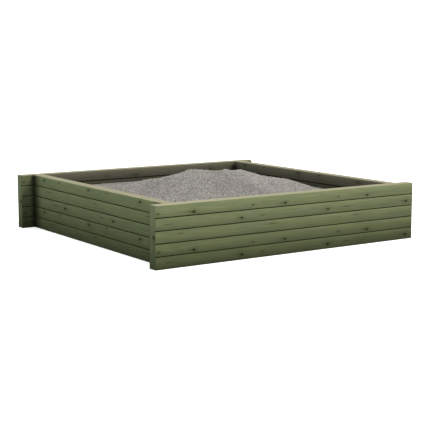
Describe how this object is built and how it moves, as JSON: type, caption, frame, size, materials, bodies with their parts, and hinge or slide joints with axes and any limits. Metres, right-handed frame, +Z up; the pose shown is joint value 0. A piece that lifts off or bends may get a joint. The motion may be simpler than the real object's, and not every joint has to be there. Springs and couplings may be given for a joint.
{
  "type": "sandbox",
  "caption": "Square garden sandbox of stacked green treated timbers, with front and rear walls running past the sides, filled with heaped grey sand.",
  "frame": {"origin": "centre of the footprint, on the ground", "axes": "+X along the front and rear walls, to the right as seen from the front; +Y from the front wall to the rear wall; +Z up"},
  "size_m": [1.2, 1.15, 0.2589],
  "materials": {
    "treated_timber": "pressure-treated softwood, green, planed and matt, with small dark knots",
    "treated_batten": "pressure-treated softwood, green, upright grain",
    "dowel_wood": "plain beech",
    "zinc_steel": "dull zinc-plated steel",
    "woven_sheet": "black woven ground sheet",
    "sand": "coarse grey sand, matt, with light and dark grains"
  },
  "bodies": {
    "root": {"front_timber_1": "treated_timber", "front_timber_2": "treated_timber", "front_timber_3": "treated_timber", "front_timber_4": "treated_timber", "front_timber_5": "treated_timber", "rear_timber_1": "treated_timber", "rear_timber_2": "treated_timber", "rear_timber_3": "treated_timber", "rear_timber_4": "treated_timber", "rear_timber_5": "treated_timber", "left_timber_1": "treated_timber", "left_timber_2": "treated_timber", "left_timber_3": "treated_timber", "left_timber_4": "treated_timber", "left_timber_5": "treated_timber", "right_timber_1": "treated_timber", "right_timber_2": "treated_timber", "right_timber_3": "treated_timber", "right_timber_4": "treated_timber", "right_timber_5": "treated_timber", "front_dowels": "dowel_wood", "rear_dowels": "dowel_wood", "left_dowels": "dowel_wood", "right_dowels": "dowel_wood", "front_left_end_batten": "treated_batten", "front_right_end_batten": "treated_batten", "rear_left_end_batten": "treated_batten", "rear_right_end_batten": "treated_batten", "front_left_angle": "zinc_steel", "front_right_angle": "zinc_steel", "rear_left_angle": "zinc_steel", "rear_right_angle": "zinc_steel", "end_batten_pins": "zinc_steel", "angle_screws": "zinc_steel", "ground_sheet": "woven_sheet", "sand_fill": "sand"}
  },
  "joints": []
}
